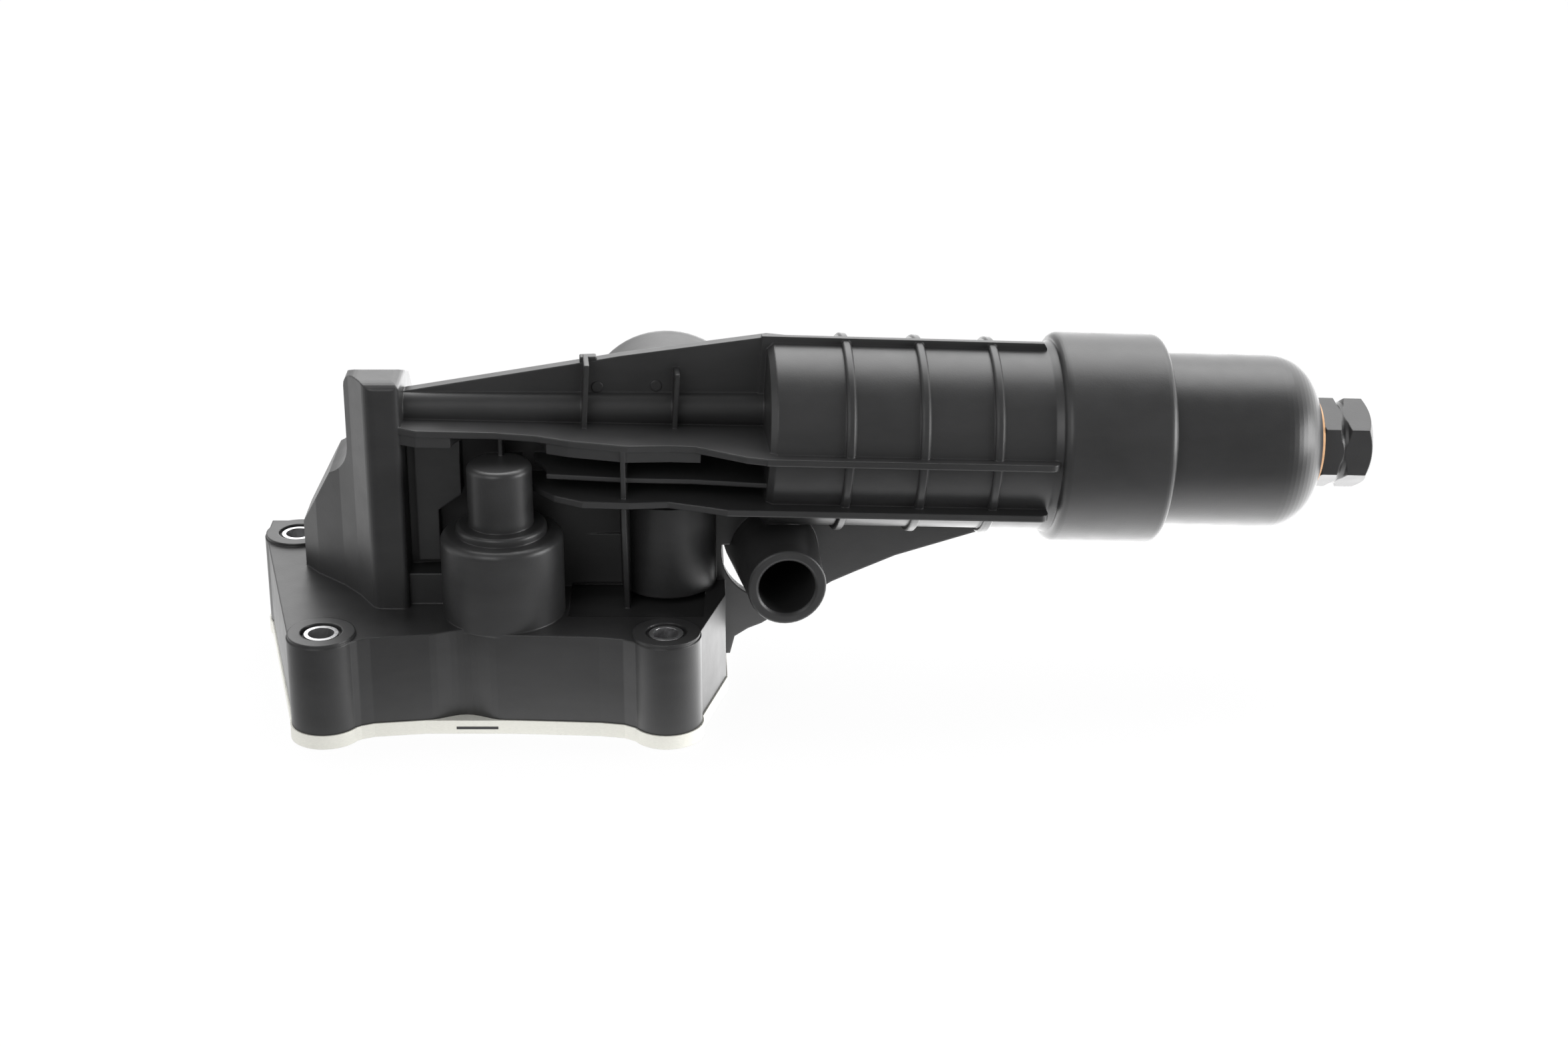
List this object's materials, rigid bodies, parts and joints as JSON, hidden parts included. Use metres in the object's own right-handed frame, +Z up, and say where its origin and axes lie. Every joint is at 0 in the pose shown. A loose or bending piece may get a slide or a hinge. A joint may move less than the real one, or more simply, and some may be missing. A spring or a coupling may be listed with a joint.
{
  "type": "oil filter housing",
  "caption": "Moulded oil filter housing on a plate, with a ribbed cartridge bowl, screw cap, drain plug, stub pipe and valves.",
  "frame": {"origin": "on the base plate's mounting face, midway between the front bolts and midway between the bolt rows", "axes": "+X towards the cap, along the bolt rows; +Y away from the stub pipe's mouth; +Z up from the mounting face"},
  "size_m": [0.3815, 0.1084, 0.1227],
  "materials": {
    "nylon": "satin",
    "cap_nylon": "satin",
    "plate_metal": "satin",
    "steel": "turned",
    "seal_rubber": "matte",
    "copper_seal": "satin",
    "inner_nylon": "satin",
    "end_disc": "matte",
    "filter_paper": "matte"
  },
  "bodies": {
    "body": {"housing": "nylon", "base_plate": "plate_metal", "housing_gasket": "seal_rubber", "base_gasket": "seal_rubber", "sleeve_front_left": "steel", "sleeve_front_right": "steel", "sleeve_rear_left": "steel", "sleeve_rear_right": "steel", "standpipe": "inner_nylon", "standpipe_ring": "seal_rubber", "relief_spring": "steel", "relief_retainer": "inner_nylon", "check_cage": "inner_nylon", "check_spring": "steel"},
    "cartridge": {"filter_media": "filter_paper", "filter_inner_disc": "end_disc", "filter_outer_disc": "end_disc", "centre_tube": "inner_nylon"},
    "cap": {"screw_cap": "cap_nylon", "cap_ring": "seal_rubber"},
    "plug_ring": {"drain_plug_seal": "copper_seal"},
    "plug": {"drain_plug": "cap_nylon"},
    "relief": {"relief_piston": "steel"},
    "check": {"check_disc": "steel"}
  },
  "joints": [
    {"name": "cap_travel", "type": "slide", "parent": "body", "child": "cartridge", "axis": [0.9924, 0.1043, -0.0645], "range_m": [0, 0.012]},
    {"name": "cap_turn", "type": "hinge", "parent": "cartridge", "child": "cap", "pos_m": [0.1225, 0.01, 0.0867], "axis": [0.9924, 0.1043, -0.0645], "range_deg": [0, 1080]},
    {"name": "plug_travel", "type": "slide", "parent": "cap", "child": "plug_ring", "axis": [0.9924, 0.1043, -0.0645], "range_m": [0, 0.006]},
    {"name": "plug_turn", "type": "hinge", "parent": "plug_ring", "child": "plug", "pos_m": [0.1225, 0.01, 0.0867], "axis": [0.9924, 0.1043, -0.0645], "range_deg": [0, 1440]},
    {"name": "relief_travel", "type": "slide", "parent": "body", "child": "relief", "axis": [0, 0, -1], "range_m": [0, 0.008], "stiffness_N_per_m": 2500, "springref_m": -0.004, "deforming": ["relief_spring"]},
    {"name": "check_travel", "type": "slide", "parent": "body", "child": "check", "axis": [0, 0, 1], "range_m": [0, 0.005], "stiffness_N_per_m": 150, "springref_m": -0.004, "deforming": ["check_spring"]}
  ],
  "couplings": [
    {"joint": "cap_turn", "follows": "cap_travel", "rad_per_m": 1570.8},
    {"joint": "plug_turn", "follows": "plug_travel", "rad_per_m": 4188.7}
  ]
}
